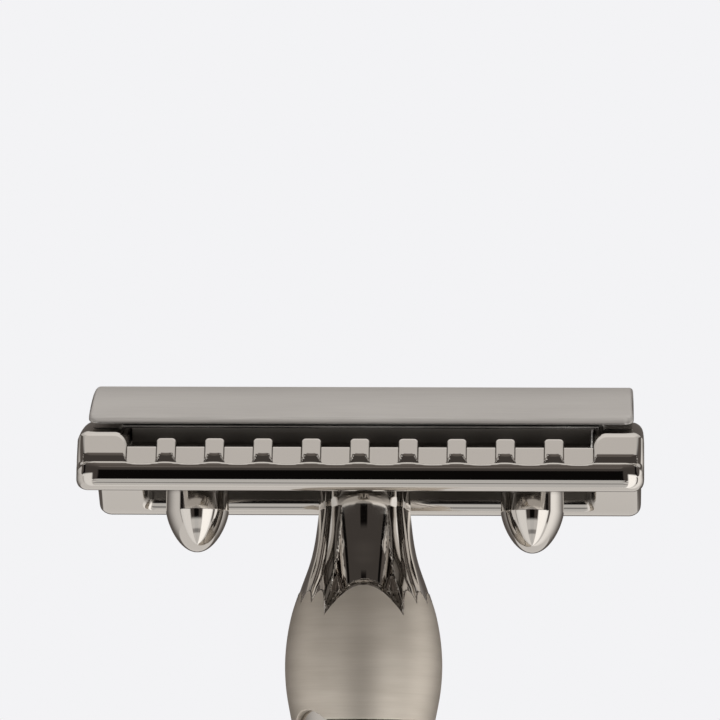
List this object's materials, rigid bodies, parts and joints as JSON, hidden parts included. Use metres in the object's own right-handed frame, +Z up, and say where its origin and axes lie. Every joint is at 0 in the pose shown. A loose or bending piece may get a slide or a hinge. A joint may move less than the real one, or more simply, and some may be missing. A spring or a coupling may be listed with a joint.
{
  "type": "safety razor",
  "caption": "Double-edge safety razor with an arched cap, a toothed guard and a round handle with scalloped satin petals, standing on its foot.",
  "frame": {"origin": "centre of the flat foot that the razor stands on", "axes": "+Z up along the handle to the cap, X along the blade, -Y towards the guard that faces the user"},
  "size_m": [0.0444, 0.024, 0.095],
  "materials": {
    "satin_cap": "fine satin plating, brushed along the blade",
    "polished_head": "mirror-polished warm gunmetal plating",
    "polished_neck": "mirror-polished dark gunmetal plating",
    "satin_handle": "satin gunmetal, brushed round the handle",
    "blade_steel": "ground stainless strip with honed edges",
    "plain_steel": "plain machined steel"
  },
  "bodies": {
    "handle": {"neck": "polished_neck", "bulb": "satin_handle", "upper_ring": "polished_neck", "grip": "satin_handle", "lower_ring": "polished_neck", "pommel": "satin_handle", "tie_rod": "plain_steel", "spring_washer": "plain_steel", "tie_rod_nut": "plain_steel", "foot_disc": "polished_neck"},
    "guard": {"base_plate": "polished_head"},
    "blade": {"blade": "blade_steel"},
    "cap": {"cap_plate": "satin_cap", "cap_stud": "plain_steel", "locating_post_left": "plain_steel", "locating_post_right": "plain_steel"}
  },
  "joints": [
    {"name": "head_turn", "type": "hinge", "parent": "handle", "child": "guard", "pos_m": [0, 0, 0.08907], "axis": [0, 0, 1], "range_deg": [0, 2880]},
    {"name": "blade_lift", "type": "slide", "parent": "guard", "child": "blade", "axis": [0, 0, 1], "range_m": [0, 0.0032]},
    {"name": "cap_lift", "type": "slide", "parent": "guard", "child": "cap", "axis": [0, 0, 1], "range_m": [0, 0.0064]}
  ],
  "couplings": [
    {"joint": "cap_lift", "follows": "head_turn", "m_per_rad": 0.0001273},
    {"joint": "blade_lift", "follows": "head_turn", "m_per_rad": 0.0000636}
  ]
}
